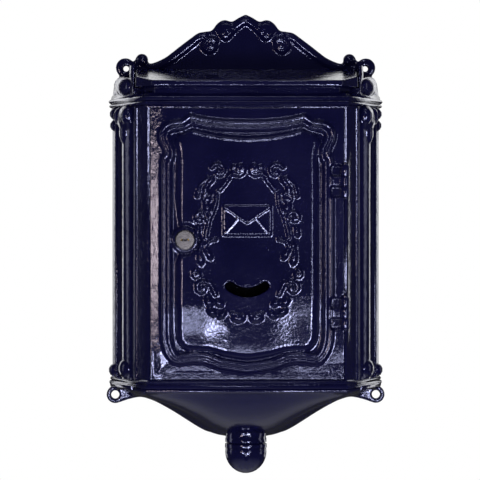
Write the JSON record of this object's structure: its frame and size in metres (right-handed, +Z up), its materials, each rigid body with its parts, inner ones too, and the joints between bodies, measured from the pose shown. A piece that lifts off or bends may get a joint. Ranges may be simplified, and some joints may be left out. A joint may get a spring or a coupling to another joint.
{
  "type": "wall letter box",
  "caption": "Cast wall letter box with a scrolled crest, a lifting lid, a hinged door that carries a wreath relief and a cam lock, and a turned drop finial.",
  "frame": {"origin": "on the wall face of the back plate, on the centre line, midway between the two rows of wall screws", "axes": "+X to the right as seen from the front, the front faces -Y, +Z up"},
  "size_m": [0.2668, 0.0912, 0.4387],
  "materials": {
    "casting_paint": "gloss dark navy enamel over a cast surface",
    "steel": "bright zinc plate",
    "lock_chrome": "bright nickel plate",
    "wafer_brass": "stamped brass"
  },
  "bodies": {
    "box": {"back_plate": "casting_paint", "case": "casting_paint", "case_screws": "steel", "lid_rod": "steel", "rod_caps": "steel", "door_pin_upper": "casting_paint", "door_pin_lower": "casting_paint"},
    "lid": {"lid": "casting_paint"},
    "door": {"door": "casting_paint", "lock_housing": "lock_chrome", "lock_nut": "steel"},
    "lock": {"lock_plug": "lock_chrome", "lock_wafers": "wafer_brass", "lock_cam": "steel", "cam_screw": "steel"}
  },
  "joints": [
    {"name": "door_hinge", "type": "hinge", "parent": "box", "child": "door", "pos_m": [0.091, -0.086, -0.014], "axis": [0, 0, 1], "range_deg": [0, 150]},
    {"name": "lid_hinge", "type": "hinge", "parent": "box", "child": "lid", "pos_m": [0, -0.0097, 0.15108], "axis": [-1, 0, 0], "range_deg": [0, 65]},
    {"name": "lock_turn", "type": "hinge", "parent": "door", "child": "lock", "pos_m": [-0.0577, -0.08, -0.0073], "axis": [0, 1, 0], "range_deg": [0, 90]}
  ]
}
